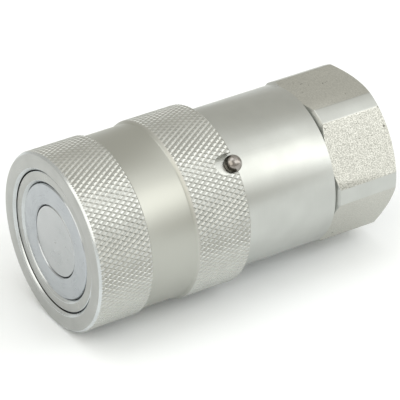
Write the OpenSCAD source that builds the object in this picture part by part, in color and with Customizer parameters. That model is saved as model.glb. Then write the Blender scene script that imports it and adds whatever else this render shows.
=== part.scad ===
// Flat-face quick disconnect coupler, socket half, in bright zinc plated steel.
//
// The coupler's axis lies along X. The origin is the centre of the port's mouth, on the rear
// face of the hexagon, and the locking sleeve's front face is at -X. A flat of the hexagon
// faces +Z. Sizes are in millimetres.
//
// Every turned piece is drawn as [radius, station] points, where a station is the distance
// behind the front face of the sleeve, and along_axis() then lays it down along X.

/* [Overall] */
// Length from the front face of the sleeve to the rear face of the hexagon
overall_length = 73.5; // [70:0.5:95]
// Length of the hexagon
hex_length = 16; // [12:0.5:24]
// Diameter of the nipple that the socket takes
nipple_d = 24.5; // [22:0.1:32]
// Wall of the body's nose around the nipple
nose_wall = 2.7; // [2.6:0.1:4]
// Room for the sleeve's spring between the nose and the sleeve
spring_room = 2; // [1.9:0.1:3]
// Wall of the body around the port adapter's spigot
end_wall = 2; // [1.6:0.1:3]
// Shoulder between the spigot and the middle of each flat of the hexagon
hex_shoulder = 0.875; // [0.6:0.025:2]
// Height of the hexagon's turned corners above the body
hex_corner_rise = 0.4; // [0:0.1:1]

/* [Locking sleeve] */
// Length of the sleeve
sleeve_length = 35.6; // [33.5:0.1:44]
// Wall of the sleeve around its spring
sleeve_wall = 1.95; // [1.6:0.05:4]
// Length of the front knurled band
front_band = 12.1; // [8:0.1:16]
// Length of the plain recess between the knurled bands
recess_length = 11.2; // [6:0.1:14]
// Depth of that recess
recess_depth = 0.6; // [0.3:0.1:1]
// Travel of the sleeve behind its rest place
sleeve_travel = 2.5; // [1.5:0.1:3]
// Length of the bore at the sleeve's front that rides on the nose
lip_length = 1.2; // [1:0.1:2]
// Length of the land that holds the locking balls in
land_length = 4.9; // [4:0.1:6]
// Radial room over the locking balls while the sleeve is back
ball_relief = 0.1; // [0.05:0.01:0.3]
// Depth of the front edge's chamfer, across the face
front_chamfer = 0.6; // [0.2:0.1:1]

/* [Locking balls] */
// Number of locking balls
lock_balls = 12; // [6:1:12]
// Diameter of a locking ball
lock_ball_d = 4; // [3.5:0.1:4.5]
// Diameter of the safety ball in the sleeve's notch
safety_ball_d = 3.7; // [3:0.1:4]
// Height of the safety ball's centre above the body
safety_ball_rise = 0.5; // [0.2:0.05:0.8]
// Turn of the notch and the safety ball away from +Z, towards -Y
notch_angle = 42.5; // [0:0.5:60]
// Room between the safety ball and the notch
notch_gap = 0.35; // [0.25:0.05:0.6]

/* [Valve and poppet] */
// Diameter of the poppet's head
poppet_d = 15.2; // [13:0.1:16.5]
// Length of the poppet's head
poppet_head = 6.2; // [5.5:0.1:8]
// Diameter of the poppet's stem
stem_d = 6.4; // [5:0.1:7]
// Diameter of the thread at the stem's end
stem_thread_d = 5; // [4:0.5:5]
// Depth of the nose's face behind the sleeve's face
nose_set_back = 0.55; // [0.2:0.05:1]
// Depth of the valve ring's face behind the sleeve's face
valve_set_back = 0.76; // [0.6:0.02:1.2]
// Depth of the poppet's face behind the sleeve's face
poppet_set_back = 0.88; // [0.6:0.02:1.4]
// Length of the valve's rear flange
flange_length = 2.5; // [2.2:0.1:4]
// Height of the step that stops the valve's flange
valve_step = 1; // [0.8:0.1:1.2]

/* [Springs] */
// Wire of the sleeve's spring
sleeve_wire = 1.4; // [1:0.1:1.5]
// Turns of the sleeve's spring
sleeve_turns = 5.5; // [4:0.25:6]
// Fitted length of the sleeve's spring
sleeve_spring_length = 12.7; // [12:0.1:13.5]
// Wire of the valve's spring
valve_wire = 1.6; // [1.2:0.1:1.7]
// Turns of the valve's spring
valve_turns = 5.2; // [4:0.1:5.4]

/* [Port] */
// Diameter of the port thread's core
port_core_d = 18.63; // [14.9:0.01:20]
// Depth of the port's thread
port_depth = 16; // [12:0.5:20]
// Diameter of the throat between the port and the valve
throat_d = 15; // [10:0.5:16]
// Length of the spigot that is screwed into the body
spigot_length = 13.4; // [12:0.1:18]

/* [Fits] */
// Radial clearance of a running or screwed fit
fit_gap = 0.05; // [0.02:0.01:0.08]
// Radial clearance of a seal in its groove
seal_gap = 0.02; // [0.01:0.01:0.04]
// Thickness of an O-ring's squeezed section
seal_wire = 1.6; // [1.4:0.1:1.8]
// Width of a backup ring
backup_width = 1.1; // [0.8:0.1:1.5]

/* [Hidden] */
$fn = 96;

// How far a cut runs past the surface that it opens through
over = 1;
// Turn that brings a flat of a hexagon to +Z
flat_up = 30;

// Radii, from the nipple outwards
valve_r = nipple_d / 2;
nose_bore_r = valve_r + fit_gap;
nose_r = nose_bore_r + nose_wall;
lip_r = nose_r + fit_gap;
body_r = nose_r + spring_room;
chamber_r = body_r + fit_gap;
sleeve_r = chamber_r + sleeve_wall;
flange_bore_r = nose_bore_r + valve_step;
flange_r = flange_bore_r - fit_gap;
spigot_bore_r = body_r - end_wall;
spigot_r = spigot_bore_r - fit_gap;
hex_flat_r = spigot_bore_r + hex_shoulder;
hex_corner_r = min(body_r + hex_corner_rise, hex_flat_r / cos(flat_up));

// Locking balls, out on the valve, and the sleeve's relief and ramp around them
lock_ball_r = lock_ball_d / 2;
lock_hole_r = lock_ball_r + fit_gap;
lock_ball_out = valve_r + fit_gap + lock_ball_r;
lock_ball_in = lip_r - lock_ball_r;
relief_r = lock_ball_out + lock_ball_r + ball_relief;
lock_hole_end = lock_ball_in - 0.3;
lock_hole_lip = 0.7;
// Thinnest metal between two cuts in the nose
web = 0.55;
stop_wire = 1;
stop_ring_rise = 0.1;
stop_ring_at = lip_length + sleeve_travel + ball_relief + stop_wire / 2;
stop_ring_r = nose_r + stop_ring_rise;
lock_ball_at = stop_ring_at + stop_wire / 2 + web + lock_hole_r;
ramp_at = lock_ball_at + lock_ball_out - relief_r + (lock_ball_r + ball_relief) * sqrt(2);
land_at = ramp_at + relief_r - lip_r;

// Sleeve's spring, between the land and a washer on the body's shoulder
washer_t = 0.8;
spring_at = land_at + land_length;
shoulder_at = spring_at + sleeve_spring_length + washer_t;

// Safety ball at the sleeve's rear edge, half in the notch
safety_ball_r = safety_ball_d / 2;
safety_ball_out = body_r + safety_ball_rise;
notch_r = safety_ball_r + notch_gap;
notch_end_at = sleeve_length - sleeve_travel;
notch_turn = 180 + notch_angle;

// Seals
seal_r = seal_wire / 2;
seal_play = 0.3;
seal_groove = seal_wire + backup_width + seal_play;
nipple_groove_at = lock_ball_at + lock_hole_r + 2 * web;
nipple_groove_r = nose_bore_r + seal_wire;
backup_at = nipple_groove_at + fit_gap;
nipple_seal_at = nipple_groove_at + seal_groove - seal_r - 2 * fit_gap;

// Valve
valve_step_at = nipple_groove_at + seal_groove + 2.5 * web;
flange_at = valve_step_at + 2 * fit_gap;
flange_end = flange_at + flange_length;
poppet_r = poppet_d / 2;
valve_bore_r = poppet_r + fit_gap;
valve_wall = 2.4;
valve_mouth_r = valve_r - valve_wall;
wear_ring_t = 0.65;
wear_groove_r = flange_r - wear_ring_t;
wear_land = 0.7;
wear_groove_at = flange_at + wear_land;
wear_groove_width = flange_length - 2 * wear_land;

// Spider, held between the body and the adapter's spigot
seam_at = overall_length - hex_length;
spigot_at = seam_at - spigot_length;
spider_rim = 4;
spider_at = spigot_at - spider_rim;
spider_ledge = 1.2;
spider_bore_r = flange_bore_r + spider_ledge;
spider_r = spider_bore_r - fit_gap;
spring_ledge = 1.5;
rim_r = flange_bore_r - spring_ledge;
seat_t = 1;
seat_at = spider_at - seat_t;
hub_r = 4.6;
hub_lead = 0.5;
hub_at = spider_at - hub_lead;
hub_length = spider_rim + 4 * hub_lead;

// Poppet
stem_r = stem_d / 2;
stem_thread_r = stem_thread_d / 2;
poppet_end = poppet_set_back + poppet_head;
poppet_seal_at = poppet_set_back + poppet_head / 2;
poppet_groove_r = poppet_r - seal_wire - seal_gap;
lock_washer_t = 1;
nut_t = 4;
nut_af = 8;
nut_at = hub_at + hub_length + lock_washer_t;
stem_proud = 1;
stem_end = nut_at + nut_t + stem_proud;

// Adapter
spigot_land = 2;
adapter_groove_at = spigot_at + spigot_land;
adapter_groove_r = spigot_bore_r - seal_gap - seal_wire - seal_gap;
port_at = overall_length - port_depth;
port_r = port_core_d / 2;
throat_r = throat_d / 2;
throat_length = 2;

// Springs
spring_sides = 8;
rings_per_turn = 24;
spring_end_gap = 0.05;

steel = [0.78, 0.78, 0.76];
plated = [0.82, 0.82, 0.80];
blued = [0.55, 0.60, 0.68];
spring_steel = [0.55, 0.55, 0.55];
rubber = [0.10, 0.10, 0.10];
white_plastic = [0.92, 0.92, 0.90];

// Lays down what is drawn along Z, with the front face of the sleeve at 0
module along_axis() {
    translate([-overall_length, 0, 0]) rotate([0, 90, 0]) children();
}

// A piece turned from [radius, station] points
module turned(points) {
    along_axis() rotate_extrude() polygon(points);
}

// A plain ring
module ring(inner, outer, at, length) {
    turned([[inner, at], [outer, at], [outer, at + length], [inner, at + length]]);
}

// An O-ring of round section, with its section's centre at a radius and a station
module o_ring(centre_r, at) {
    along_axis() translate([0, 0, at]) rotate_extrude()
        translate([centre_r, 0]) circle(r = seal_r, $fn = 32);
}

// Places what is drawn along +X from the axis at a station and a turn
module radially(at, turn) {
    along_axis() rotate([0, 0, turn]) translate([0, 0, at]) children();
}

// A round bar along +X, drawn from one radius out to another
module spoke(r, from, to) {
    translate([from, 0, 0]) rotate([0, 90, 0]) cylinder(r = r, h = to - from);
}

// Height of a coil's centre line after a number of turns, with one closed turn at each end
function coil_height(turn, turns, wire, height) =
    let (open_pitch = (height - 2 * wire) / (turns - 2))
    turn < 1 ? turn * wire
    : turn > turns - 1 ? height - (turns - turn) * wire
    : wire + (turn - 1) * open_pitch;

// A compression spring that fills a length between two seats
module coil_spring(mean_r, wire, turns, at, length) {
    wire_r = wire / 2;
    height = length - wire - 2 * spring_end_gap;
    rings = round(turns * rings_per_turn);
    points = [
        for (i = [0 : rings], k = [0 : spring_sides - 1])
            let (
                turn = turns * i / rings,
                side = 360 * k / spring_sides,
                r = mean_r + wire_r * cos(side),
                z = wire_r + spring_end_gap + coil_height(turn, turns, wire, height)
            )
            [r * cos(360 * turn), r * sin(360 * turn), z + wire_r * sin(side)]
    ];
    walls = [
        for (i = [0 : rings - 1], k = [0 : spring_sides - 1])
            let (a = i * spring_sides, b = a + spring_sides, next = (k + 1) % spring_sides)
            [a + k, a + next, b + next, b + k]
    ];
    start_cap = [for (k = [spring_sides - 1 : -1 : 0]) k];
    end_cap = [for (k = [0 : spring_sides - 1]) rings * spring_sides + k];
    along_axis() translate([0, 0, at])
        polyhedron(points, concat(walls, [start_cap, end_cap]), convexity = 10);
}

module locking_sleeve() {
    edge = 0.4;
    color(plated) difference() {
        turned([
            [lip_r + front_chamfer, 0],
            [sleeve_r - front_chamfer, 0],
            [sleeve_r, front_chamfer * 4 / 3],
            [sleeve_r, front_band],
            [sleeve_r - recess_depth, front_band + recess_depth / 2],
            [sleeve_r - recess_depth, front_band + recess_length - recess_depth],
            [sleeve_r, front_band + recess_length],
            [sleeve_r, sleeve_length - edge],
            [sleeve_r - edge, sleeve_length],
            [chamber_r, sleeve_length],
            [chamber_r, spring_at],
            [lip_r, spring_at],
            [lip_r, land_at],
            [relief_r, ramp_at],
            [relief_r, lip_length],
            [lip_r, lip_length],
            [lip_r, front_chamfer],
        ]);
        radially(notch_end_at, notch_turn) spoke(notch_r, body_r - over, sleeve_r + over);
        radially(notch_end_at, notch_turn)
            translate([body_r - over, -notch_r, 0])
            cube([sleeve_r - body_r + 2 * over, 2 * notch_r, sleeve_travel + over]);
    }
}

module sleeve_spring() {
    color(spring_steel)
        coil_spring((nose_r + chamber_r) / 2, sleeve_wire, sleeve_turns, spring_at,
            sleeve_spring_length);
}

module sleeve_spring_washer() {
    color(spring_steel)
        ring(nose_r + fit_gap, chamber_r - 2 * fit_gap, shoulder_at - washer_t, washer_t);
}

// Round wire snap ring with a gap, in a groove of the nose
module sleeve_stop_ring() {
    gap = 3;
    color(spring_steel) difference() {
        along_axis() translate([0, 0, stop_ring_at]) rotate_extrude()
            translate([stop_ring_r, 0]) circle(d = stop_wire, $fn = 32);
        radially(stop_ring_at, notch_turn + 180 / lock_balls)
            translate([stop_ring_r - stop_wire, -gap / 2, -stop_wire])
            cube([2 * stop_wire, gap, 2 * stop_wire]);
    }
}

module coupler_body() {
    lead_in = 0.65;
    edge = 0.3;
    ring_room = stop_wire / 2 + fit_gap;
    ring_floor = stop_ring_r - ring_room;
    safety_floor = safety_ball_out - safety_ball_r;
    color(steel) difference() {
        turned([
            [nose_bore_r + lead_in, nose_set_back],
            [nose_r - edge, nose_set_back],
            [nose_r, nose_set_back + edge],
            [nose_r, stop_ring_at - ring_room],
            [ring_floor, stop_ring_at - ring_room],
            [ring_floor, stop_ring_at + ring_room],
            [nose_r, stop_ring_at + ring_room],
            [nose_r, shoulder_at],
            [body_r - edge, shoulder_at],
            [body_r, shoulder_at + edge],
            [body_r, seam_at - edge],
            [body_r - edge, seam_at],
            [spigot_bore_r, seam_at],
            [spigot_bore_r, spigot_at],
            [spider_bore_r, spigot_at],
            [spider_bore_r, spider_at],
            [flange_bore_r, spider_at],
            [flange_bore_r, valve_step_at],
            [nose_bore_r, valve_step_at],
            [nose_bore_r, nipple_groove_at + seal_groove],
            [nipple_groove_r, nipple_groove_at + seal_groove],
            [nipple_groove_r, nipple_groove_at],
            [nose_bore_r, nipple_groove_at],
            [nose_bore_r, nose_set_back + lead_in],
        ]);
        for (i = [0 : lock_balls - 1]) radially(lock_ball_at, 360 * i / lock_balls) {
            spoke(lock_hole_r, lock_hole_end, nose_r + over);
            translate([valve_r - over, 0, 0]) rotate([0, 90, 0])
                cylinder(
                    r1 = lock_hole_r - lock_hole_lip, r2 = lock_hole_r,
                    h = lock_hole_end - valve_r + over
                );
        }
        radially(sleeve_length, notch_turn)
            spoke(safety_ball_r + fit_gap / 2, safety_floor, body_r + over);
    }
}

module locking_balls() {
    color(spring_steel) for (i = [0 : lock_balls - 1])
        radially(lock_ball_at, 360 * i / lock_balls)
            translate([lock_ball_out, 0, 0]) sphere(r = lock_ball_r);
}

module safety_ball() {
    color(spring_steel) radially(sleeve_length, notch_turn)
        translate([safety_ball_out, 0, 0]) sphere(r = safety_ball_r);
}

module nipple_o_ring() {
    color(rubber) o_ring(valve_r + seal_gap + seal_r, nipple_seal_at);
}

module nipple_backup_ring() {
    color(white_plastic)
        ring(valve_r + seal_gap, nipple_groove_r - seal_gap, backup_at, backup_width);
}

module valve_sleeve() {
    edge = 0.25;
    seat_depth = 0.6;
    mouth_at = poppet_end + 3;
    color(blued) turned([
        [valve_bore_r + edge, valve_set_back],
        [valve_r - edge, valve_set_back],
        [valve_r, valve_set_back + edge],
        [valve_r, flange_at],
        [flange_r, flange_at],
        [flange_r, wear_groove_at],
        [wear_groove_r, wear_groove_at],
        [wear_groove_r, wear_groove_at + wear_groove_width],
        [flange_r, wear_groove_at + wear_groove_width],
        [flange_r, flange_end],
        [valve_mouth_r, flange_end],
        [valve_mouth_r, mouth_at],
        [valve_bore_r, poppet_end + seat_depth],
        [valve_bore_r, valve_set_back + edge],
    ]);
}

module valve_wear_ring() {
    color(white_plastic)
        ring(wear_groove_r + seal_gap, flange_bore_r - seal_gap, wear_groove_at + fit_gap,
            wear_groove_width - 2 * fit_gap);
}

module valve_spring() {
    mean_r = flange_bore_r - 2 * fit_gap - valve_wire / 2;
    color(spring_steel)
        coil_spring(mean_r, valve_wire, valve_turns, flange_end, seat_at - flange_end);
}

module valve_spring_seat() {
    color(spring_steel) ring(rim_r, flange_bore_r - fit_gap, seat_at, seat_t);
}

module poppet() {
    edge = 0.3;
    dimple_r = 0.6;
    groove_half = (seal_wire + seal_play) / 2;
    color(steel) turned([
        [0, poppet_set_back + dimple_r],
        [dimple_r, poppet_set_back],
        [poppet_r - edge, poppet_set_back],
        [poppet_r, poppet_set_back + edge],
        [poppet_r, poppet_seal_at - groove_half],
        [poppet_groove_r, poppet_seal_at - groove_half],
        [poppet_groove_r, poppet_seal_at + groove_half],
        [poppet_r, poppet_seal_at + groove_half],
        [poppet_r, poppet_end],
        [stem_r, poppet_end + poppet_r - stem_r],
        [stem_r, hub_at],
        [stem_thread_r, hub_at],
        [stem_thread_r, stem_end],
        [0, stem_end],
    ]);
}

module poppet_seal() {
    color(rubber) o_ring(poppet_r - seal_r + seal_gap, poppet_seal_at);
}

// Three-armed holder that carries the poppet's stem in the middle of the flow
module poppet_spider() {
    arms = 3;
    arm_width = 3;
    color(steel) difference() {
        union() {
            ring(rim_r, spider_r, spider_at, spider_rim);
            along_axis() translate([0, 0, hub_at]) cylinder(r = hub_r, h = hub_length);
            for (i = [0 : arms - 1]) radially(spider_at, 360 * i / arms)
                translate([0, -arm_width / 2, 0])
                cube([(rim_r + spider_r) / 2, arm_width, spider_rim]);
        }
        along_axis() translate([0, 0, hub_at - over])
            cylinder(r = stem_thread_r + fit_gap, h = hub_length + 2 * over);
    }
}

module poppet_lock_washer() {
    color(spring_steel)
        ring(stem_thread_r + fit_gap, hub_r - 2 * fit_gap, hub_at + hub_length, lock_washer_t);
}

module poppet_nut() {
    color(spring_steel) along_axis() translate([0, 0, nut_at]) difference() {
        cylinder(d = nut_af / cos(flat_up), h = nut_t, $fn = 6);
        translate([0, 0, -over]) cylinder(r = stem_thread_r + fit_gap, h = nut_t + 2 * over);
    }
}

module port_adapter() {
    mouth = 0.9;
    face_r = hex_flat_r - 0.3;
    corner_length = (hex_corner_r - face_r) * tan(30);
    groove_end = adapter_groove_at + seal_groove;
    color(steel) difference() {
        union() {
            turned([
                [rim_r, spigot_at],
                [spigot_r, spigot_at],
                [spigot_r, adapter_groove_at],
                [adapter_groove_r, adapter_groove_at],
                [adapter_groove_r, groove_end],
                [spigot_r, groove_end],
                [spigot_r, seam_at + over],
                [port_r, seam_at + over],
                [port_r, port_at],
                [throat_r, port_at],
                [throat_r, port_at - throat_length],
            ]);
            intersection() {
                along_axis() rotate([0, 0, flat_up]) translate([0, 0, seam_at])
                    cylinder(r = hex_flat_r / cos(flat_up), h = hex_length, $fn = 6);
                turned([
                    [port_r - over, seam_at],
                    [face_r, seam_at],
                    [hex_corner_r, seam_at + corner_length],
                    [hex_corner_r, overall_length - corner_length],
                    [face_r, overall_length],
                    [port_r - over, overall_length],
                ]);
            }
        }
        along_axis() translate([0, 0, port_at]) cylinder(r = port_r, h = port_depth + over);
        along_axis() translate([0, 0, overall_length - mouth])
            cylinder(r1 = port_r, r2 = port_r + mouth, h = mouth);
    }
}

module adapter_o_ring() {
    color(rubber) o_ring(spigot_bore_r - seal_gap - seal_r, adapter_groove_at + seal_r + 2 * fit_gap);
}

module adapter_backup_ring() {
    color(white_plastic)
        ring(adapter_groove_r + seal_gap, spigot_bore_r - seal_gap,
            adapter_groove_at + seal_groove - fit_gap - backup_width, backup_width);
}

locking_sleeve();
sleeve_spring();
sleeve_spring_washer();
sleeve_stop_ring();
coupler_body();
locking_balls();
safety_ball();
nipple_o_ring();
nipple_backup_ring();
valve_sleeve();
valve_wear_ring();
valve_spring();
valve_spring_seat();
poppet();
poppet_seal();
poppet_spider();
poppet_lock_washer();
poppet_nut();
port_adapter();
adapter_o_ring();
adapter_backup_ring();
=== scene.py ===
"""Looks of a flat-face quick disconnect coupler: turned and knurled steel, bright zinc plated."""
import math

import bmesh
import bpy
from mathutils import Matrix, Vector


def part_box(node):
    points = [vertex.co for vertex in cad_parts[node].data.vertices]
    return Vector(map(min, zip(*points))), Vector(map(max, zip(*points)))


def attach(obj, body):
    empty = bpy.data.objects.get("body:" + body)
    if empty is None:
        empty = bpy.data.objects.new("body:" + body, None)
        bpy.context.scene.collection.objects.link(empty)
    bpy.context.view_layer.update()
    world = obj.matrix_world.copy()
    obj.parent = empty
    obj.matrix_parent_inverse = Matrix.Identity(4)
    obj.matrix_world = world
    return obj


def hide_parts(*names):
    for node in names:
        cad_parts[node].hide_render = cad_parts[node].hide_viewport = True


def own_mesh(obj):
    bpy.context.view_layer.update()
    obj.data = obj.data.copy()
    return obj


MM = 0.001
X_AXIS = Vector((1, 0, 0))

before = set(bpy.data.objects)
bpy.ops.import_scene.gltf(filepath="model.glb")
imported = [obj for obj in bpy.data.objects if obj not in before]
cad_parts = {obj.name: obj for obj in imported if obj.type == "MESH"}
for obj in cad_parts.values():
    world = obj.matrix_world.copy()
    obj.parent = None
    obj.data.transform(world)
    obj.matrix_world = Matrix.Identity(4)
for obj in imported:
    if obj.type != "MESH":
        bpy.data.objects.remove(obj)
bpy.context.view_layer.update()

# ---------------------------------------------------------------- sizes, all in millimetres

# From the frame. A station is a length along X, behind the front face of the sleeve
FRONT_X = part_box("locking_sleeve")[0].x / MM


def front_of(node_name):
    """The station at which a CAD node starts."""
    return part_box(node_name)[0].x / MM - FRONT_X


def rear_of(node_name):
    """The station at which a CAD node ends."""
    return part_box(node_name)[1].x / MM - FRONT_X


def middle_of(node_name):
    """The station halfway along a CAD node."""
    low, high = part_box(node_name)
    return (low.x + high.x) / 2 / MM - FRONT_X


LENGTH = rear_of("port_adapter")
SLEEVE_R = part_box("locking_sleeve")[1].y / MM
SLEEVE_END = rear_of("locking_sleeve")
BODY_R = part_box("coupler_body")[1].z / MM
NOSE_AT = front_of("coupler_body")
SEAM_AT = rear_of("coupler_body")
HEX_FLAT_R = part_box("port_adapter")[1].z / MM
HEX_CORNER_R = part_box("port_adapter")[1].y / MM
VALVE_AT = front_of("valve_sleeve")
FLANGE_END = rear_of("valve_sleeve")
FLANGE_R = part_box("valve_sleeve")[1].z / MM
POPPET_AT = front_of("poppet")
POPPET_END = rear_of("poppet")
POPPET_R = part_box("poppet")[1].z / MM
WASHER_AT = front_of("sleeve_spring_washer")
SHOULDER_AT = rear_of("sleeve_spring_washer")
SEAT_AT = front_of("valve_spring_seat")
SPIDER_AT = rear_of("valve_spring_seat")
SPIGOT_AT = front_of("port_adapter")
STOP_RING_AT = middle_of("sleeve_stop_ring")
LOCK_BALL_AT = middle_of("locking_balls")
BALL_LOW, BALL_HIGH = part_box("safety_ball")

# Play of the seals in their grooves
BACKUP_RING_PLAY = 0.05
O_RING_PLAY = 0.1
SEAL_GROOVE_AT = front_of("nipple_backup_ring") - BACKUP_RING_PLAY
ADAPTER_GROOVE_AT = front_of("adapter_o_ring") - O_RING_PLAY

# Inside sizes, as the design has them
FIT_GAP = 0.05
NOSE_R = BODY_R - 2
NOSE_BORE_R = 12.3
VALVE_R = 12.25
LIP_R = NOSE_R + FIT_GAP
CHAMBER_R = BODY_R + FIT_GAP
RELIEF_R = 16.4
LIP_LENGTH = 1.2
RAMP_AT = 8.27
SPRING_AT = 14.52
FLANGE_BORE_R = 13.3
SPIDER_BORE_R = 14.5
SPIGOT_BORE_R = 15.0
SPIGOT_R = 14.95
VALVE_STEP_AT = 14.925
SEAL_GROOVE = 3.0
SEAL_GROOVE_R = 13.9
LOCK_BALLS = 12
LOCK_HOLE_R = 2.05
HEAD_END = POPPET_AT + 6.2

# Knurl: 30 degree diamonds, 104 around, with narrow flat tops between V grooves
KNURL_DIAMONDS = 104
KNURL_ANGLE = math.radians(30)
KNURL_DEPTH = 0.16
KNURL_TOP = 0.30
# One wheel rolls last, so its ridges run on and the other wheel's grooves are pinched
KNURL_RUN_ON = 0.40

# Port thread, G 1/2: 14 threads to the inch
PORT_CORE_R = 9.315
PORT_MAJOR_R = 10.45
PORT_PITCH = 1.814
PORT_DEPTH = 16
PORT_CHAMFER = 0.9
THROAT_R = 7.5

# Notch and safety ball
NOTCH_R = 2.2
NOTCH_END_AT = SLEEVE_END - 2.5
BALL_CENTRE = (BALL_LOW + BALL_HIGH) / 2
BALL_R = (BALL_HIGH.x - BALL_LOW.x) / 2 / MM
NOTCH_DIRECTION = Vector((0, BALL_CENTRE.y, BALL_CENTRE.z)).normalized()

# Springs: mean radius of the coil, radius of the wire and number of turns
SLEEVE_SPRING = (16.025, 0.7, 5.5)
VALVE_SPRING = (12.4, 0.8, 5.2)

# Steps of a turned piece, the distance within which corners are one, and the bend past which an
# edge is rounded
TURN_STEPS = 144
WELD = 0.0005
CORNER_ANGLE = math.radians(25)


# ---------------------------------------------------------------- mesh helpers

def station(at):
    """The place along X, in metres, of a length behind the sleeve's front face."""
    return (FRONT_X + at) * MM


def mesh_object(name, bm, smooth_angle=35):
    """A finished object from a bmesh, with faces outwards and edges over the angle kept sharp."""
    bmesh.ops.remove_doubles(bm, verts=bm.verts, dist=WELD * MM)
    bmesh.ops.recalc_face_normals(bm, faces=bm.faces)
    mesh = bpy.data.meshes.new(name)
    bm.to_mesh(mesh)
    bm.free()
    mesh.shade_smooth()
    mesh.set_sharp_from_angle(angle=math.radians(smooth_angle))
    made = bpy.data.objects.new(name, mesh)
    bpy.context.scene.collection.objects.link(made)
    return made


def turned(points, edge=0.0, steps=TURN_STEPS, closed=True):
    """[radius, station] points spun about X, with their corners rounded. An open row ends on X."""
    bm = bmesh.new()
    corners = [bm.verts.new((station(at), 0, r * MM)) for r, at in points]
    ends = corners[:1] if closed else []
    for a, b in zip(corners, corners[1:] + ends):
        bm.edges.new((a, b))
    bmesh.ops.spin(bm, geom=bm.verts[:] + bm.edges[:], cent=(0, 0, 0), axis=X_AXIS,
                   angle=math.tau, steps=steps, use_merge=True)
    bmesh.ops.remove_doubles(bm, verts=bm.verts, dist=WELD * MM)
    bmesh.ops.recalc_face_normals(bm, faces=bm.faces)
    if edge:
        rims = [e for e in bm.edges if e.calc_face_angle(0) > CORNER_ANGLE]
        bmesh.ops.bevel(bm, geom=rims, offset=edge * MM, offset_type="OFFSET", affect="EDGES",
                        segments=2, profile=0.5, material=-1, clamp_overlap=True)
    return bm


def add_spoke(bm, radius, low, high, at, direction, segments=40):
    """Adds a round bar that stands out from the axis, from one radius to another."""
    turn = direction.to_track_quat("Z", "X").to_matrix().to_4x4()
    place = Matrix.Translation(Vector((station(at), 0, 0)) + direction * (low + high) / 2 * MM)
    bmesh.ops.create_cone(bm, cap_ends=True, segments=segments, radius1=radius * MM,
                          radius2=radius * MM, depth=(high - low) * MM, matrix=place @ turn)


def combined(name, base, other, operation, smooth_angle=35):
    """The object base joined with, cut by or kept within the object other, which is used up."""
    modifier = base.modifiers.new(operation, "BOOLEAN")
    modifier.operation = operation
    modifier.solver = "EXACT"
    modifier.object = other
    graph = bpy.context.evaluated_depsgraph_get()
    mesh = bpy.data.meshes.new_from_object(base.evaluated_get(graph))
    bm = bmesh.new()
    bm.from_mesh(mesh)
    for used in (base, other):
        bpy.data.objects.remove(used)
    bpy.data.meshes.remove(mesh)
    return mesh_object(name, bm, smooth_angle)


def mark_front(piece):
    """Gives the front's chamfers the piece's second material, with its painted highlight, and its face
    the third, with its painted shade.
    """
    front_depth = 1.4
    wall_slope = 0.35
    face_slope = 0.93
    for face in piece.data.polygons:
        slope = abs(face.normal.x) if face.center.x < station(front_depth) else 0
        face.material_index = 0 if slope < wall_slope else 1 if slope < face_slope else 2


# ---------------------------------------------------------------- the coupler's pieces

def knurled_bar():
    """A bar longer than the sleeve, knurled all over, with its diamond tops at the sleeve's radius."""
    around = math.tau * SLEEVE_R / KNURL_DIAMONDS
    along = around / math.tan(KNURL_ANGLE)
    groove = around * math.cos(KNURL_ANGLE) - KNURL_TOP
    rows = math.ceil((SLEEVE_END + 2 * along) / along)
    bm = bmesh.new()
    bmesh.ops.create_circle(bm, cap_ends=False, segments=KNURL_DIAMONDS,
                            radius=(SLEEVE_R - KNURL_DEPTH) * MM,
                            matrix=Matrix.Rotation(math.pi / 2, 4, "Y"))
    bmesh.ops.translate(bm, verts=bm.verts, vec=(station(-along), 0, 0))
    rim = bm.edges[:]
    for _ in range(rows):
        grown = bmesh.ops.extrude_edge_only(bm, edges=rim)["geom"]
        rim = [e for e in grown if isinstance(e, bmesh.types.BMEdge)]
        fresh = [v for v in grown if isinstance(v, bmesh.types.BMVert)]
        rim = [e for e in rim if all(v in fresh for v in e.verts)]
        bmesh.ops.translate(bm, verts=fresh, vec=(along * MM, 0, 0))
    bmesh.ops.recalc_face_normals(bm, faces=bm.faces)
    shared = [e for e in bm.edges if len(e.link_faces) == 2]
    bmesh.ops.poke(bm, faces=bm.faces)
    bmesh.ops.dissolve_edges(bm, edges=shared, use_verts=False)
    diamonds = [f for f in bm.faces if len(f.verts) == 4]
    bmesh.ops.inset_individual(bm, faces=diamonds, thickness=groove / 2 * MM,
                               depth=KNURL_DEPTH * MM, use_even_offset=True)
    # Each top's ends move along one wheel's ridge. "across" is square to the other wheel's ridge
    for top in diamonds:
        centre = top.calc_center_median()
        onward = centre.cross(X_AXIS).normalized() * math.sin(KNURL_ANGLE)
        ridge = X_AXIS * math.cos(KNURL_ANGLE) + onward
        across = X_AXIS * math.cos(KNURL_ANGLE) * math.tan(KNURL_ANGLE) ** 2 + onward
        for v in top.verts:
            side = math.copysign(0.5, (v.co - centre).dot(across))
            v.co += ridge * side * KNURL_RUN_ON * MM
    bmesh.ops.holes_fill(bm, edges=[e for e in bm.edges if e.is_boundary], sides=0)
    return mesh_object("knurled_bar", bm)


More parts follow.
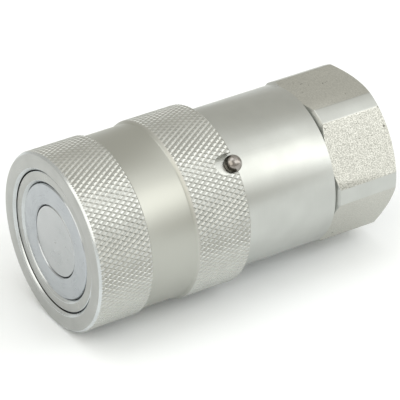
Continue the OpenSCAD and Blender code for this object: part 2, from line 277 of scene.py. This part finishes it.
def notch_cutter():
    """The U-shaped space of the notch, open to the sleeve's rear."""
    bm = bmesh.new()
    side = NOTCH_DIRECTION.cross(X_AXIS) * NOTCH_R * MM
    centre = Vector((station(NOTCH_END_AT), 0, 0)) + NOTCH_DIRECTION * (BODY_R - 1) * MM
    tail = Vector(((SLEEVE_END + 1 - NOTCH_END_AT) * MM, 0, 0))
    start = bm.verts.new(centre + side)
    bmesh.ops.spin(bm, geom=[start], cent=centre, axis=NOTCH_DIRECTION, angle=math.pi, steps=24)
    outline = bm.verts[:] + [bm.verts.new(centre - side + tail), bm.verts.new(centre + side + tail)]
    floor = bm.faces.new(outline)
    roof = bmesh.ops.extrude_face_region(bm, geom=[floor])["geom"]
    raised = [v for v in roof if isinstance(v, bmesh.types.BMVert)]
    bmesh.ops.translate(bm, verts=raised, vec=NOTCH_DIRECTION * (SLEEVE_R - BODY_R + 2) * MM)
    return mesh_object("notch_cutter", bm)


def locking_sleeve():
    """Sleeve turned out of the knurled bar: plain recess, chamfered ends, stepped bore and notch."""
    over = SLEEVE_R + 0.05
    front_drop, front_run = 0.5, 0.70
    rear_drop, rear_run = 0.4, 0.45
    lead_in = 0.6
    front_band_end = 12.05
    recess_at, recess_end = 12.45, 22.6
    rear_band_at = 23.45
    recess_r = SLEEVE_R - 0.6
    envelope = turned([
        (LIP_R + lead_in, 0), (SLEEVE_R - front_drop, 0), (over, front_run),
        (over, front_band_end), (recess_r, recess_at), (recess_r, recess_end),
        (over, rear_band_at), (over, SLEEVE_END - rear_run), (SLEEVE_R - rear_drop, SLEEVE_END),
        (CHAMBER_R, SLEEVE_END), (CHAMBER_R, SPRING_AT), (LIP_R, SPRING_AT),
        (LIP_R, RAMP_AT + RELIEF_R - LIP_R), (RELIEF_R, RAMP_AT), (RELIEF_R, LIP_LENGTH),
        (LIP_R, LIP_LENGTH), (LIP_R, lead_in),
    ], edge=0.12, steps=216)
    sleeve = combined("sleeve_turned", mesh_object("sleeve_envelope", envelope), knurled_bar(),
                      "INTERSECT")
    made = combined("locking_sleeve_knurled", sleeve, notch_cutter(), "DIFFERENCE", smooth_angle=24)
    mark_front(made)
    return made


def coupler_body():
    """Body turned in one piece, with the locking balls' holes and the safety ball's pocket."""
    nose_drop, nose_run = 0.3, 0.4
    lead_in = 0.65
    ring_half = 0.55
    ring_floor = NOSE_R - 0.45
    ball_rise = 0.5
    ball_play = 0.03
    groove_end = SEAL_GROOVE_AT + SEAL_GROOVE
    body = turned([
        (NOSE_BORE_R + lead_in, NOSE_AT), (NOSE_R - nose_drop, NOSE_AT),
        (NOSE_R, NOSE_AT + nose_run),
        (NOSE_R, STOP_RING_AT - ring_half), (ring_floor, STOP_RING_AT - ring_half),
        (ring_floor, STOP_RING_AT + ring_half), (NOSE_R, STOP_RING_AT + ring_half),
        (NOSE_R, SHOULDER_AT), (BODY_R, SHOULDER_AT), (BODY_R, SEAM_AT),
        (SPIGOT_BORE_R, SEAM_AT), (SPIGOT_BORE_R, SPIGOT_AT), (SPIDER_BORE_R, SPIGOT_AT),
        (SPIDER_BORE_R, SPIDER_AT), (FLANGE_BORE_R, SPIDER_AT), (FLANGE_BORE_R, VALVE_STEP_AT),
        (NOSE_BORE_R, VALVE_STEP_AT), (NOSE_BORE_R, groove_end), (SEAL_GROOVE_R, groove_end),
        (SEAL_GROOVE_R, SEAL_GROOVE_AT), (NOSE_BORE_R, SEAL_GROOVE_AT),
        (NOSE_BORE_R, NOSE_AT + lead_in),
    ], edge=0.12)
    holes = bmesh.new()
    for i in range(LOCK_BALLS):
        turn = Matrix.Rotation(math.tau * i / LOCK_BALLS, 3, "X")
        add_spoke(holes, LOCK_HOLE_R, NOSE_BORE_R - 1, NOSE_R + 1, LOCK_BALL_AT,
                  turn @ Vector((0, 0, -1)))
    pocket_floor = BODY_R + ball_rise - BALL_R
    add_spoke(holes, BALL_R + ball_play, pocket_floor, BODY_R + 1, SLEEVE_END, NOTCH_DIRECTION)
    made = combined("coupler_body_turned", mesh_object("body_bar", body),
                    mesh_object("ball_holes", holes), "DIFFERENCE")
    mark_front(made)
    return made


def valve_sleeve():
    """Sliding ring of the front face, with its rear flange and the wear ring's groove."""
    bore_r = POPPET_R + FIT_GAP
    edge_drop = 0.22
    inner_run, outer_run = 0.35, 0.4
    flange_at = VALVE_STEP_AT + 0.1
    groove_wall = 0.7
    groove_at, groove_end = flange_at + groove_wall, FLANGE_END - groove_wall
    groove_r = FLANGE_R - 0.65
    tail_bore_r = VALVE_R - 2.4
    seat_at, seat_end = HEAD_END + 0.6, HEAD_END + 3
    ring = turned([
        (bore_r, VALVE_AT + inner_run), (bore_r + edge_drop, VALVE_AT),
        (VALVE_R - edge_drop, VALVE_AT), (VALVE_R, VALVE_AT + outer_run), (VALVE_R, flange_at),
        (FLANGE_R, flange_at), (FLANGE_R, groove_at), (groove_r, groove_at),
        (groove_r, groove_end), (FLANGE_R, groove_end), (FLANGE_R, FLANGE_END),
        (tail_bore_r, FLANGE_END), (tail_bore_r, seat_end), (bore_r, seat_at),
    ], edge=0.08)
    return mesh_object("valve_sleeve_ground", ring)


def poppet():
    """Fixed disc in the middle of the front face, on its stem, with a small centre mark."""
    mark_depth, mark_r = 0.35, 0.5
    edge_drop, edge_run = 0.22, 0.35
    seal_at = POPPET_AT + 3.1
    seal_half = 0.95
    seal_floor = POPPET_R - 1.62
    stem_r = 3.2
    thread_r = 2.5
    thread_at = SPIDER_AT - 0.5
    profile = turned([
        (0, POPPET_AT + mark_depth), (mark_r, POPPET_AT), (POPPET_R - edge_drop, POPPET_AT),
        (POPPET_R, POPPET_AT + edge_run), (POPPET_R, seal_at - seal_half),
        (seal_floor, seal_at - seal_half), (seal_floor, seal_at + seal_half),
        (POPPET_R, seal_at + seal_half), (POPPET_R, HEAD_END),
        (stem_r, HEAD_END + POPPET_R - stem_r), (stem_r, thread_at),
        (thread_r, thread_at), (thread_r, POPPET_END), (0, POPPET_END),
    ], edge=0.12, closed=False)
    return mesh_object("poppet_turned", profile)


def thread_space():
    """The space of the port's thread: one tooth's outline carried along a helix, then closed."""
    steps = 48
    run_out = 0.3
    overhang = 0.6
    flank_angle = math.radians(27.5)
    flank = (PORT_MAJOR_R - PORT_CORE_R) * math.tan(flank_angle)
    flat = PORT_PITCH / 2 - flank
    start = LENGTH - PORT_DEPTH - 2 * PORT_PITCH
    turns = math.ceil(PORT_DEPTH / PORT_PITCH) + 4
    outline = [(0, PORT_CORE_R), (flat, PORT_CORE_R), (flat + flank, PORT_MAJOR_R),
               (2 * flat + flank, PORT_MAJOR_R), (PORT_PITCH, PORT_CORE_R)]
    bm = bmesh.new()
    tooth = [bm.verts.new((station(start + at), 0, r * MM)) for at, r in outline]
    for a, b in zip(tooth, tooth[1:]):
        bm.edges.new((a, b))
    bmesh.ops.spin(bm, geom=bm.verts[:] + bm.edges[:], cent=(0, 0, 0), axis=X_AXIS,
                   dvec=(PORT_PITCH / steps * MM, 0, 0), angle=math.tau * turns,
                   steps=steps * turns)
    bmesh.ops.remove_doubles(bm, verts=bm.verts, dist=2 * WELD * MM)
    for at, side in ((LENGTH - PORT_DEPTH + run_out, -1), (LENGTH + overhang, 1)):
        bmesh.ops.bisect_plane(bm, geom=bm.verts[:] + bm.edges[:] + bm.faces[:],
                               plane_co=(station(at), 0, 0), plane_no=(side, 0, 0),
                               clear_outer=True)
    bmesh.ops.holes_fill(bm, edges=[e for e in bm.edges if e.is_boundary], sides=0)
    return mesh_object("thread_space", bm)


def port_adapter():
    """Hexagon bar with turned corners, its spigot and its threaded port."""
    seat_r = HEX_FLAT_R - 0.3
    corner_slope = math.radians(30)
    rise = (HEX_CORNER_R - seat_r) * math.tan(corner_slope)
    hexagon_r = HEX_FLAT_R / math.cos(math.pi / 6)
    port_at = LENGTH - PORT_DEPTH
    groove_end = ADAPTER_GROOVE_AT + SEAL_GROOVE
    groove_r = SPIGOT_BORE_R - 1.64
    cone_r = FLANGE_BORE_R - 1.5
    cone_end = port_at - 2
    # The bore is left a little tight, and the thread's space opens it to the core
    tight = 0.25
    bore_r = PORT_CORE_R - tight
    bar = turned([
        (cone_r, SPIGOT_AT), (SPIGOT_R, SPIGOT_AT), (SPIGOT_R, ADAPTER_GROOVE_AT),
        (groove_r, ADAPTER_GROOVE_AT), (groove_r, groove_end), (SPIGOT_R, groove_end),
        (SPIGOT_R, SEAM_AT), (seat_r, SEAM_AT), (HEX_CORNER_R, SEAM_AT + rise),
        (HEX_CORNER_R, LENGTH - rise), (seat_r, LENGTH),
        (PORT_CORE_R + PORT_CHAMFER, LENGTH), (bore_r, LENGTH - PORT_CHAMFER - tight),
        (bore_r, port_at), (THROAT_R, port_at), (THROAT_R, cone_end),
    ], edge=0.1)
    prism = bmesh.new()
    bmesh.ops.create_cone(prism, cap_ends=True, segments=6, radius1=hexagon_r * MM,
                          radius2=hexagon_r * MM, depth=2 * LENGTH * MM,
                          matrix=Matrix.Rotation(math.pi / 2, 4, "Y"))
    hexed = combined("hexagon_bar", mesh_object("adapter_bar", bar),
                     mesh_object("hexagon_prism", prism), "INTERSECT")
    made = combined("port_adapter_threaded", hexed, thread_space(), "DIFFERENCE")
    # The drawn flats face outwards, and lie within a hundredth of the hexagon's flats
    level = 0.02
    near = 0.01
    for face in made.data.polygons:
        outward = Vector((0, face.center.y, face.center.z))
        off_flat = abs(outward.dot(face.normal) - HEX_FLAT_R * MM)
        drawn = abs(face.normal.x) < level and off_flat < near * MM
        face.material_index = 1 if drawn and face.center.x > station(SEAM_AT) else 0
    return made


def coil_spring(name, spring, low, high):
    """A compression spring between two seats, with a closed turn at each end."""
    mean_r, wire_r, turns = spring
    sides = 14
    steps = 40
    gap = 0.05
    closed_rise = 2 * wire_r
    open_turns = turns - 2
    open_rise = (high - low - 2 * gap - 2 * wire_r - 2 * closed_rise) / open_turns
    bm = bmesh.new()
    bmesh.ops.create_circle(bm, cap_ends=True, segments=sides, radius=wire_r * MM,
                            matrix=Matrix.Translation((station(low + gap + wire_r), 0, mean_r * MM))
                            @ Matrix.Rotation(math.pi / 2, 4, "X"))
    ring = bm.verts[:] + bm.edges[:]
    for count, rise in ((1, closed_rise), (open_turns, open_rise), (1, closed_rise)):
        spins = round(count * steps)
        ring = bmesh.ops.spin(bm, geom=ring, cent=(0, 0, 0), axis=X_AXIS,
                              dvec=(rise * count / spins * MM, 0, 0), angle=math.tau * count,
                              steps=spins)["geom_last"]
    bmesh.ops.holes_fill(bm, edges=[e for e in bm.edges if e.is_boundary], sides=0)
    return mesh_object(name, bm, smooth_angle=60)


def safety_ball():
    """The ball that stands half out of the body, in the sleeve's notch."""
    bm = bmesh.new()
    bmesh.ops.create_icosphere(bm, subdivisions=5, radius=BALL_R * MM,
                               matrix=Matrix.Translation(BALL_CENTRE))
    return mesh_object("safety_ball_polished", bm, smooth_angle=180)


# ---------------------------------------------------------------- materials

# Painted shade: a dark colour painted in the narrow gaps between the front face's sliding rings
GAP_SHADE = "#33322f"


def linear(hex_colour):
    """An sRGB hex colour as linear RGBA."""
    parts = [int(hex_colour[i:i + 2], 16) / 255 for i in (1, 3, 5)]
    return [p / 12.92 if p <= 0.04045 else ((p + 0.055) / 1.055) ** 2.4 for p in parts] + [1]


def per(size_mm):
    """The scale that gives a noise blotches about size_mm across."""
    return 1 / (size_mm * MM)


def node(tree, kind, inputs, output=0, **settings):
    """Adds a node with its settings, links or fills its inputs, and returns one of its outputs."""
    made = tree.nodes.new("ShaderNode" + kind)
    for name, value in settings.items():
        setattr(made, name, value)
    for socket, value in inputs.items():
        if isinstance(value, bpy.types.NodeSocket):
            tree.links.new(value, made.inputs[socket])
        else:
            made.inputs[socket].default_value = value
    return made.outputs[output]


def shaded(tree, value, low, high, colour_a, colour_b):
    """Colour a where the value is low, colour b where it is high, and a blend between."""
    share = node(tree, "MapRange", {0: value, 1: low, 2: high})
    return node(tree, "Mix", {0: share, 6: linear(colour_a), 7: linear(colour_b)}, 2,
                data_type="RGBA")


def turned_place(tree):
    """Object coordinates, the radius from X, and a length that changes across every turned face.

    The radius counts 1.3 times, not once, so that a 45 degree chamfer has its rings too.
    """
    at = node(tree, "TexCoord", {}, "Object")
    x, y, z = node(tree, "SeparateXYZ", {0: at}).node.outputs
    y_squared = node(tree, "Math", {0: y, 1: y}, operation="MULTIPLY")
    z_squared = node(tree, "Math", {0: z, 1: z}, operation="MULTIPLY")
    squares = node(tree, "Math", {0: y_squared, 1: z_squared}, operation="ADD")
    radius = node(tree, "Math", {0: squares}, operation="SQRT")
    across = node(tree, "Math", {0: radius, 1: 1.3, 2: x}, operation="MULTIPLY_ADD")
    return at, radius, across


def material(name, metallic):
    """A new material, with its tree and its shader."""
    made = bpy.data.materials.new(name)
    made.use_nodes = True
    shader = made.node_tree.nodes["Principled BSDF"]
    shader.inputs["Metallic"].default_value = metallic
    return made, made.node_tree, shader


def feed(tree, shader, **sockets):
    """Links nodes' outputs to the shader's inputs."""
    for name, output in sockets.items():
        tree.links.new(output, shader.inputs[name.replace("_", " ")])


def gap_shade(tree, at, radius):
    """Painted shade: 1 on the walls of the narrow gaps between the front face's rings, 0 elsewhere.

    It fades out 1.6 to 1.7 mm behind the front face, and 0.06 to 0.085 mm off a gap's middle.
    """
    nearest = 1.0
    for gap_r in (POPPET_R, VALVE_R, NOSE_R):
        offset = node(tree, "Math", {0: radius, 1: (gap_r + FIT_GAP / 2) * MM},
                      operation="SUBTRACT")
        distance = node(tree, "Math", {0: offset}, operation="ABSOLUTE")
        nearest = node(tree, "Math", {0: distance, 1: nearest}, operation="MINIMUM")
    x = node(tree, "SeparateXYZ", {0: at})
    front = node(tree, "MapRange", {0: x, 1: station(1.7), 2: station(1.6)})
    close = node(tree, "MapRange", {0: nearest, 1: 0.085 * MM, 2: 0.06 * MM})
    return node(tree, "Math", {0: front, 1: close}, operation="MULTIPLY")


def turned_zinc(name="turned_bright_zinc", light="#bdbfbb", dark="#b8bab6", rough=0.33):
    """Free-cutting steel, turned, then bright zinc plated and clear passivated.

    The tool leaves fine rings, the plating a faint grain, and both widen the highlight. They are
    drawn coarser than they are, about 0.3 mm apart, so that they show.
    """
    made, tree, shader = material(name, metallic=1.0)
    at, radius, across = turned_place(tree)
    rings = node(tree, "TexNoise", {"W": across, "Scale": per(0.35), "Detail": 3},
                 noise_dimensions="1D")
    grain = node(tree, "TexNoise", {"Vector": at, "Scale": per(0.25)})
    cloud = node(tree, "TexNoise", {"Vector": at, "Scale": per(5)})
    ring_share = node(tree, "Math", {0: rings, 1: 0.15}, operation="MULTIPLY")
    tone = node(tree, "Math", {0: cloud, 1: 0.85, 2: ring_share}, operation="MULTIPLY_ADD")
    plain = shaded(tree, tone, 0.35, 0.65, dark, light)
    film_and_gap_shade = gap_shade(tree, at, radius)
    # The gaps between the front face's rings are painted dark, as painted shade
    colour = node(tree, "Mix", {0: film_and_gap_shade, 6: plain, 7: linear(GAP_SHADE)}, 2, data_type="RGBA")
    gloss = node(tree, "MapRange", {0: tone, 1: 0.3, 2: 0.7, 3: rough + 0.03, 4: rough - 0.03})
    grained = node(tree, "Bump", {"Height": grain, "Distance": 0.002 * MM})
    ringed = node(tree, "Bump", {"Height": rings, "Distance": 0.0003 * MM, "Normal": grained})
    feed(tree, shader, Base_Color=colour, Roughness=gloss, Normal=ringed)
    return made


def knurled_zinc():
    """The same turned and plated steel, rolled with a diamond knurl.

    The rolled tops are burnished bright, and the grooves are painted a darker grey as painted shade.
    The plain recess and bores keep a duller turned finish, and are painted a little darker as painted
    shade. Its rings and grain are drawn coarser than they are too.
    """
    made, tree, shader = material("knurled_bright_zinc", metallic=1.0)
    at, radius, across = turned_place(tree)
    rings = node(tree, "TexNoise", {"W": across, "Scale": per(0.35), "Detail": 3},
                 noise_dimensions="1D")
    grain = node(tree, "TexNoise", {"Vector": at, "Scale": per(0.2)})
    cloud = node(tree, "TexNoise", {"Vector": at, "Scale": per(4)})
    rolled = shaded(tree, cloud, 0.35, 0.65, "#b5b7b3", "#bfc1bd")
    low = (SLEEVE_R - KNURL_DEPTH) * MM
    high = node(tree, "MapRange", {0: radius, 1: low, 2: (SLEEVE_R - 0.02) * MM})
    banded = node(tree, "MapRange", {0: radius, 1: low - 0.2 * MM, 2: low - 0.1 * MM})
    below = node(tree, "Math", {0: 1.0, 1: high}, operation="SUBTRACT")
    grooves = node(tree, "Math", {0: banded, 1: below}, operation="MULTIPLY")
    # The recess and bores are painted a little darker than the tops, as painted shade
    metal = node(tree, "Mix", {0: banded, 6: linear("#b1b2ab"), 7: rolled}, 2, data_type="RGBA")
    film_and_gap_shade = gap_shade(tree, at, radius)
    # The gaps between the front face's rings are painted dark, as painted shade
    gap_shaded = node(tree, "Mix", {0: film_and_gap_shade, 6: metal, 7: linear(GAP_SHADE)}, 2, data_type="RGBA")
    # The grooves are painted a darker grey, as painted shade
    colour = node(tree, "Mix", {0: grooves, 6: gap_shaded, 7: linear("#b6b6b0")}, 2,
                  data_type="RGBA")
    base_gloss = node(tree, "MapRange", {0: banded, 3: 0.38, 4: 0.27})
    gloss = node(tree, "Math", {0: grooves, 1: 0.15, 2: base_gloss}, operation="MULTIPLY_ADD")
    grained = node(tree, "Bump", {"Height": grain, "Distance": 0.004 * MM})
    ringed = node(tree, "Bump", {"Height": rings, "Distance": 0.0014 * MM, "Normal": grained})
    feed(tree, shader, Base_Color=colour, Roughness=gloss, Normal=ringed)
    return made


def hexagon_zinc():
    """Cold-drawn hexagon bar under the same bright zinc.

    The drawn flats keep a grain of bright plated crests and small dark pits. The grain's colour is
    painted strong on the two upper sides, as a painted sparkle of the light on them, and faint on the
    rest. It is drawn 0.25 mm across, which is coarser than the real grain, so that it shows.
    """
    made, tree, shader = material("drawn_hexagon_zinc", metallic=1.0)
    at = node(tree, "TexCoord", {}, "Object")
    faint_grain_level = 0.3
    height = node(tree, "SeparateXYZ", {0: at}, 2)
    top_flat = node(tree, "MapRange", {0: height, 1: (HEX_FLAT_R - 0.2) * MM,
                                       2: (HEX_FLAT_R - 0.1) * MM})
    lower_half = node(tree, "MapRange", {0: height, 1: 0.05 * MM, 2: -0.05 * MM})
    faint_grain_sides = node(tree, "Math", {0: top_flat, 1: lower_half}, operation="ADD")
    level = node(tree, "MapRange", {0: faint_grain_sides, 3: 1, 4: faint_grain_level})
    raw_grain = node(tree, "TexNoise", {"Vector": at, "Scale": per(0.25)})
    centred = node(tree, "Math", {0: raw_grain, 1: 0.5}, operation="SUBTRACT")
    grain = node(tree, "Math", {0: centred, 1: level, 2: 0.5}, operation="MULTIPLY_ADD")
    blotches = node(tree, "TexNoise", {"Vector": at, "Scale": per(0.9), "Detail": 1})
    unpitted = node(tree, "MapRange", {0: blotches, 1: 0.22, 2: 0.26})
    # The grain's contrast, strong only on the two upper sides, is a painted sparkle of the light
    plain = shaded(tree, grain, 0.36, 0.64, "#a5a59e", "#d3d3cc")
    colour = node(tree, "Mix", {0: unpitted, 6: linear("#77766f"), 7: plain}, 2,
                  data_type="RGBA")
    gloss = node(tree, "MapRange", {0: grain, 1: 0.35, 2: 0.65, 3: 0.48, 4: 0.38})
    grained = node(tree, "Bump", {"Height": grain, "Distance": 0.052 * MM})
    feed(tree, shader, Base_Color=colour, Roughness=gloss, Normal=grained)
    return made


def valve_steel():
    """Through-hardened steel, ground and lapped on its face.

    It is bare under an oil film, so it looks bluer than the plating around it. The grinding marks
    are drawn 0.3 mm apart, far coarser than they are, so that they show.
    """
    made, tree, shader = material("ground_valve_steel", metallic=1.0)
    at, radius, across = turned_place(tree)
    rings = node(tree, "TexNoise", {"W": across, "Scale": per(0.3), "Detail": 4},
                 noise_dimensions="1D")
    cloud = node(tree, "TexNoise", {"Vector": at, "Scale": per(3)})
    ring_share = node(tree, "Math", {0: rings, 1: 0.5}, operation="MULTIPLY")
    tone = node(tree, "Math", {0: cloud, 1: 0.5, 2: ring_share}, operation="MULTIPLY_ADD")
    plain = shaded(tree, tone, 0.35, 0.65, "#adb1b5", "#b7bbbe")
    film_and_gap_shade = gap_shade(tree, at, radius)
    # The gaps between the front face's rings are painted dark, as painted shade
    colour = node(tree, "Mix", {0: film_and_gap_shade, 6: plain, 7: linear(GAP_SHADE)}, 2, data_type="RGBA")
    gloss = node(tree, "MapRange", {0: tone, 1: 0.3, 2: 0.7, 3: 0.30, 4: 0.22})
    ringed = node(tree, "Bump", {"Height": rings, "Distance": 0.0015 * MM})
    feed(tree, shader, Base_Color=colour, Roughness=gloss, Normal=ringed)
    return made


def ball_steel():
    """Chrome bearing steel, lapped to a mirror. Unplated, it mirrors its surroundings darkly."""
    made, tree, shader = material("lapped_ball_steel", metallic=1.0)
    at = node(tree, "TexCoord", {}, "Object")
    film_and_gap_shade = node(tree, "TexNoise", {"Vector": at, "Scale": per(1.2)})
    colour = shaded(tree, film_and_gap_shade, 0.4, 0.6, "#918b85", "#a19d99")
    gloss = node(tree, "MapRange", {0: film_and_gap_shade, 1: 0.3, 2: 0.7, 3: 0.20, 4: 0.27})
    feed(tree, shader, Base_Color=colour, Roughness=gloss)
    return made


def spring_wire():
    """Patented, drawn spring wire: grey, with draw marks round the coil and a dull phosphate film.

    The draw marks are drawn 0.12 mm apart, coarser than they are, so that they show.
    """
    made, tree, shader = material("drawn_spring_wire", metallic=1.0)
    at, radius, _ = turned_place(tree)
    marks = node(tree, "TexNoise", {"W": radius, "Scale": per(0.12)}, noise_dimensions="1D")
    film_and_gap_shade = node(tree, "TexNoise", {"Vector": at, "Scale": per(1.0), "Detail": 3})
    colour = shaded(tree, film_and_gap_shade, 0.35, 0.65, "#7d7c79", "#a3a29e")
    gloss = node(tree, "MapRange", {0: film_and_gap_shade, 1: 0.3, 2: 0.7, 3: 0.45, 4: 0.32})
    marked = node(tree, "Bump", {"Height": marks, "Distance": 0.002 * MM})
    feed(tree, shader, Base_Color=colour, Roughness=gloss, Normal=marked)
    return made


def nitrile():
    """Moulded nitrile rubber, black with a faint bloom and the mould's satin grain.

    The grain is drawn 0.15 mm across, coarser than it is, so that it shows.
    """
    made, tree, shader = material("moulded_nitrile", metallic=0.0)
    shader.inputs["IOR"].default_value = 1.52
    at = node(tree, "TexCoord", {}, "Object")
    grain = node(tree, "TexNoise", {"Vector": at, "Scale": per(0.15)})
    bloom = node(tree, "TexNoise", {"Vector": at, "Scale": per(2.5)})
    colour = shaded(tree, bloom, 0.4, 0.7, "#1c1c1c", "#2b2a29")
    gloss = node(tree, "MapRange", {0: bloom, 1: 0.3, 2: 0.7, 3: 0.48, 4: 0.62})
    grained = node(tree, "Bump", {"Height": grain, "Distance": 0.006 * MM})
    feed(tree, shader, Base_Color=colour, Roughness=gloss, Normal=grained)
    return made


def ptfe():
    """Skived and turned PTFE, waxy white, with the lathe's rings, 0.2 mm apart, left in it."""
    made, tree, shader = material("turned_ptfe", metallic=0.0)
    shader.inputs["IOR"].default_value = 1.35
    at, _, across = turned_place(tree)
    rings = node(tree, "TexNoise", {"W": across, "Scale": per(0.2)}, noise_dimensions="1D")
    cloud = node(tree, "TexNoise", {"Vector": at, "Scale": per(2.0)})
    colour = shaded(tree, cloud, 0.3, 0.7, "#e4e2da", "#f1f0ea")
    gloss = node(tree, "MapRange", {0: rings, 1: 0.3, 2: 0.7, 3: 0.5, 4: 0.4})
    ringed = node(tree, "Bump", {"Height": rings, "Distance": 0.003 * MM})
    feed(tree, shader, Base_Color=colour, Roughness=gloss, Normal=ringed)
    return made


def white_paper():
    """Matt white background paper, coated, with a tone that drifts a little over its width."""
    made, tree, shader = material("white_paper", metallic=0.0)
    shader.inputs["Roughness"].default_value = 0.9
    at = node(tree, "TexCoord", {}, "Object")
    drift = node(tree, "TexNoise", {"Vector": at, "Scale": per(40)})
    colour = node(tree, "Mix", {0: drift, 6: linear("#f8fbfe"), 7: linear("#fbfdff")}, 2,
                  data_type="RGBA")
    feed(tree, shader, Base_Color=colour)
    return made


# ---------------------------------------------------------------- the coupler, put together

PLATED = turned_zinc()
KNURLED = knurled_zinc()
DRAWN = hexagon_zinc()
# The poppet is ground before it is plated, which leaves it smoother and a little cooler
BRIGHT = turned_zinc("ground_bright_zinc", light="#bcbebf", dark="#b4b7b8", rough=0.26)
# The chamfers are painted the brightest of the turned faces, as a painted highlight on the rims
CHAMFER_HIGHLIGHT = turned_zinc("chamfer_highlight_zinc", light="#ccd0d1", dark="#c0c4c5", rough=0.26)
# The faced front ends are painted a little darker than the rest, as painted shade
FACED_SHADE = turned_zinc("faced_shaded_zinc", light="#b3b4b1", dark="#abaca9", rough=0.30)
GROUND = valve_steel()
LAPPED = ball_steel()
WIRE = spring_wire()
RUBBER = nitrile()
WHITE = ptfe()


def fitted(piece, node_name, body, slot, *materials):
    """A finished piece takes its materials, its body and its CAD node's place. The slot is not used.
    """
    for m in materials:
        piece.data.materials.append(m)
    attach(piece, body)
    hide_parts(node_name)
    return piece


fitted(locking_sleeve(), "locking_sleeve", "sleeve", "knurled_zinc", KNURLED, CHAMFER_HIGHLIGHT, FACED_SHADE)
fitted(coupler_body(), "coupler_body", "coupler", "turned_zinc", PLATED, CHAMFER_HIGHLIGHT, FACED_SHADE)
fitted(valve_sleeve(), "valve_sleeve", "valve", "valve_steel", GROUND)
fitted(poppet(), "poppet", "coupler", "turned_zinc", BRIGHT)
fitted(port_adapter(), "port_adapter", "coupler", "hexagon_zinc", PLATED, DRAWN)
fitted(safety_ball(), "safety_ball", "coupler", "ball_steel", LAPPED)

sleeve_coil = fitted(coil_spring("sleeve_spring_coil", SLEEVE_SPRING, SPRING_AT, WASHER_AT),
                     "sleeve_spring", "spring_pack", "spring_steel", WIRE)
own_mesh(sleeve_coil)
valve_coil = fitted(coil_spring("valve_spring_coil", VALVE_SPRING, FLANGE_END, SEAT_AT),
                    "valve_spring", "coupler", "spring_steel", WIRE)
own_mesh(valve_coil)

# CAD nodes that stay as they are, and only take their finish
KEPT_NODES = {
    WIRE: ["sleeve_spring_washer", "sleeve_stop_ring", "valve_spring_seat", "poppet_lock_washer"],
    PLATED: ["poppet_spider", "poppet_nut"],
    LAPPED: ["locking_balls"],
    RUBBER: ["nipple_o_ring", "poppet_seal", "adapter_o_ring"],
    WHITE: ["nipple_backup_ring", "valve_wear_ring", "adapter_backup_ring"],
}
for finish, names in KEPT_NODES.items():
    for name in names:
        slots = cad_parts[name].data.materials
        slots.clear()
        slots.append(finish)

# ---------------------------------------------------------------- camera, floor and light

scene = bpy.context.scene
scene.view_settings.view_transform = "Standard"

# The camera's own directions, and its place from the middle of the sleeve's front face
RIGHT = Vector((0.8415, -0.5402, 0))
FORWARD = Vector((0.4606, 0.7175, -0.5225))
UP = RIGHT.cross(FORWARD)
TO_RIGHT = 29.75
TO_UP = 8.58
TO_BACK = 599.9
FRONT = Vector((FRONT_X * MM, 0, 0))
camera = bpy.data.objects.new("camera", bpy.data.cameras.new("camera"))
camera.data.lens = 270
camera.data.sensor_width = 36
camera.data.clip_end = 10
camera.location = FRONT + (RIGHT * TO_RIGHT + UP * TO_UP - FORWARD * TO_BACK) * MM
camera.rotation_euler = Matrix((RIGHT, UP, -FORWARD)).transposed().to_euler()
scene.collection.objects.link(camera)
scene.camera = camera


def soft_box(name, towards, along, distance, length, width, radiance, colour):
    """A soft box seen from the coupler in one direction, with its long side along another."""
    facing = Vector(towards).normalized()
    side = (Vector(along) - facing * facing.dot(Vector(along))).normalized()
    data = bpy.data.lights.new(name, "AREA")
    data.shape = "RECTANGLE"
    data.size, data.size_y = length, width
    data.energy = radiance * math.pi * length * width
    data.color = linear(colour)[:3]
    light = bpy.data.objects.new(name, data)
    light.rotation_euler = Matrix((side, facing.cross(side), facing)).transposed().to_euler()
    light.location = FRONT / 2 + facing * distance
    scene.collection.objects.link(light)


soft_box("right_core", (0.46, -0.61, 0.64), X_AXIS, 0.6, 0.6, 0.29, 1.05, "#fffefa")
soft_box("right_skirt", (0.46, -0.56, 0.69), X_AXIS, 0.62, 0.8, 0.74, 0.62, "#fbfdff")
soft_box("top_skirt", (0.46, 0.02, 0.88), X_AXIS, 0.64, 0.8, 0.30, 0.17, "#fbfdff")
soft_box("top_box", (-0.15, 0.15, 0.97), X_AXIS, 0.8, 0.5, 0.5, 1.35, "#fbfdff")
soft_box("left_box", (-0.76, -0.26, 0.60), (0.1, -0.8, -0.6), 0.7, 0.8, 0.45, 1.35, "#fffcf4")
soft_box("end_box", (0.90, -0.40, 0.24), (0, 0, 1), 0.7, 0.26, 0.28, 1.7, "#fbfdff")

world = bpy.data.worlds.new("studio")
world.use_nodes = True
world.node_tree.nodes["Background"].inputs["Color"].default_value = linear("#fffdf5")
world.node_tree.nodes["Background"].inputs["Strength"].default_value = 0.69
scene.world = world

bm = bmesh.new()
bmesh.ops.create_grid(bm, x_segments=1, y_segments=1, size=1.5,
                      matrix=Matrix.Translation((0, 0, -SLEEVE_R * MM)))
floor = mesh_object("floor", bm)
floor.data.materials.append(white_paper())
